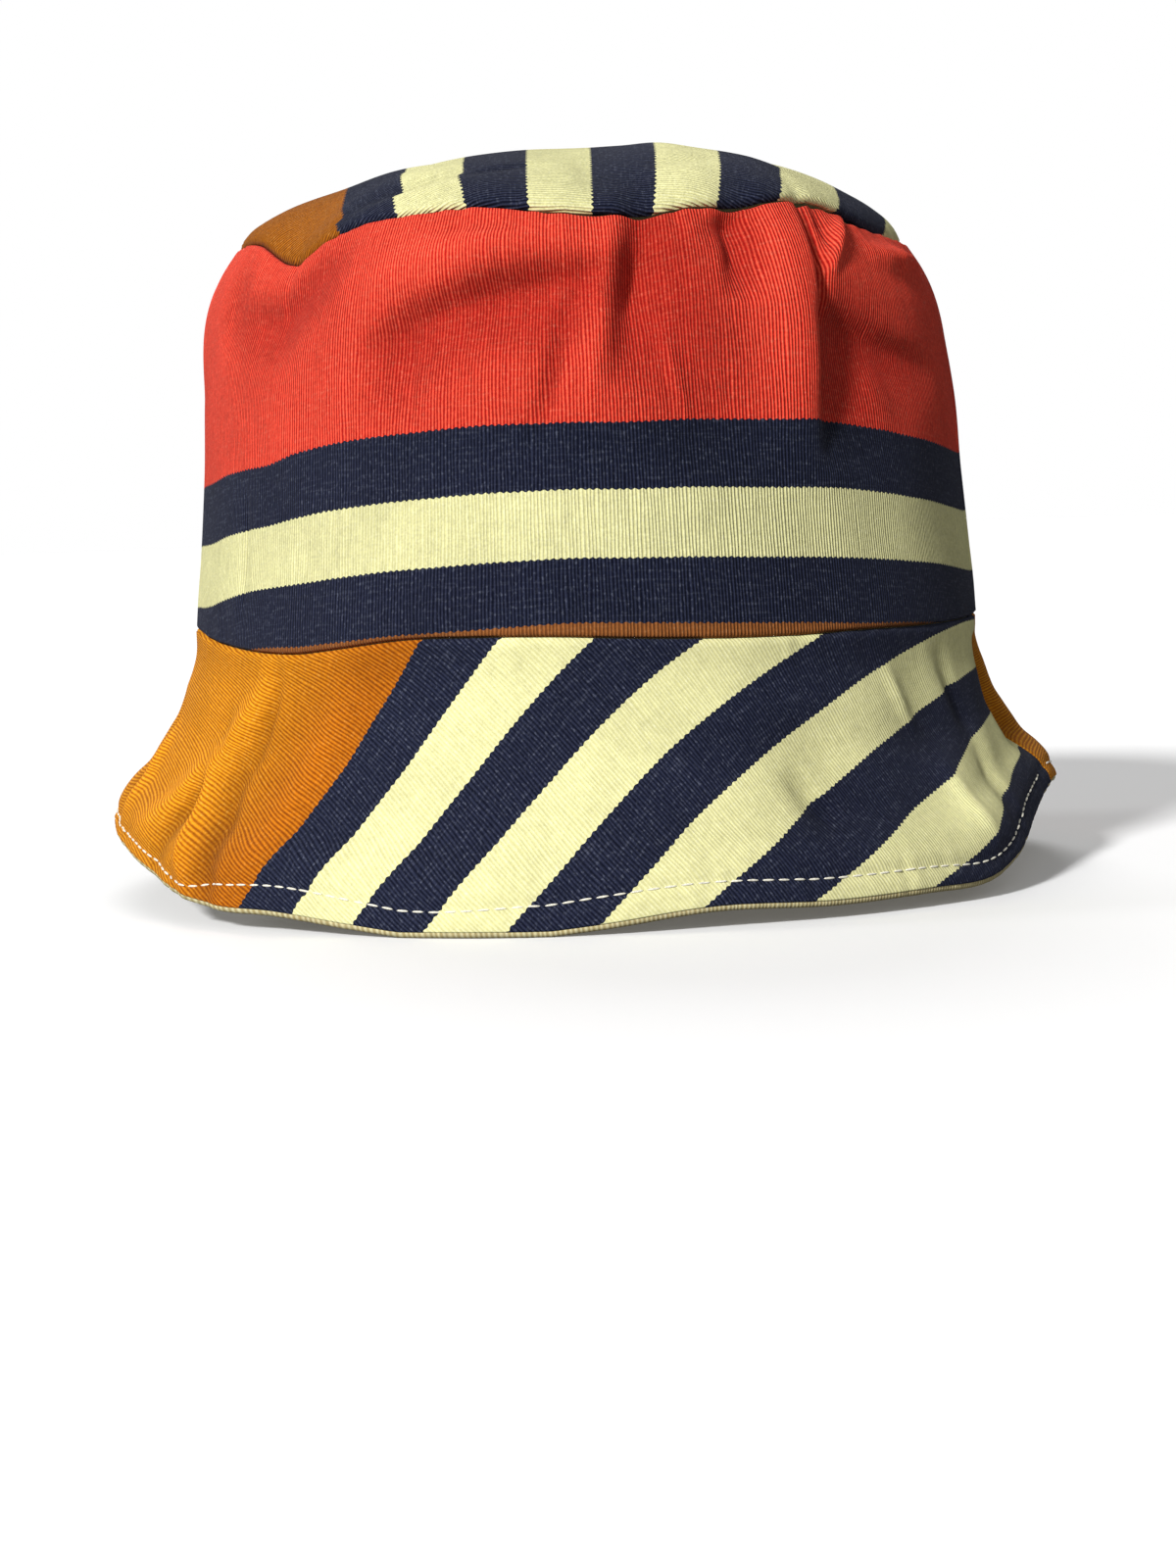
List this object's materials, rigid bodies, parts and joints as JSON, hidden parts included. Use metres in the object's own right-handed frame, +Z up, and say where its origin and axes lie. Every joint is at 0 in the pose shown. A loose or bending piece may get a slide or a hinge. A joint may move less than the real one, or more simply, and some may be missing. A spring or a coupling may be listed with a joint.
{
  "type": "reversible bucket hat",
  "caption": "Soft cotton bucket hat with a striped tip, banded crown and sloping striped brim, hollow for the head.",
  "frame": {"origin": "on the surface that the hat stands on, under the middle of the crown", "axes": "+Z up, -Y out of the front of the hat, +X to the right as seen from the front"},
  "size_m": [0.2128, 0.2451, 0.1598],
  "materials": {
    "tip_cloth": "matte ribbed cotton with cream and navy stripes",
    "band_cloth": "matte ribbed cotton, coral over navy and cream stripes",
    "brim_cloth": "matte ribbed cotton with slanting navy and cream stripes and an ochre end",
    "reverse_cloth": "matte plain cotton twill in khaki cream"
  },
  "bodies": {
    "root": {"crown_tip": "tip_cloth", "crown_band_front": "band_cloth", "crown_band_back": "band_cloth", "brim_front": "brim_cloth", "brim_back": "brim_cloth", "brim_underside_front": "reverse_cloth", "brim_underside_back": "reverse_cloth"}
  },
  "joints": []
}
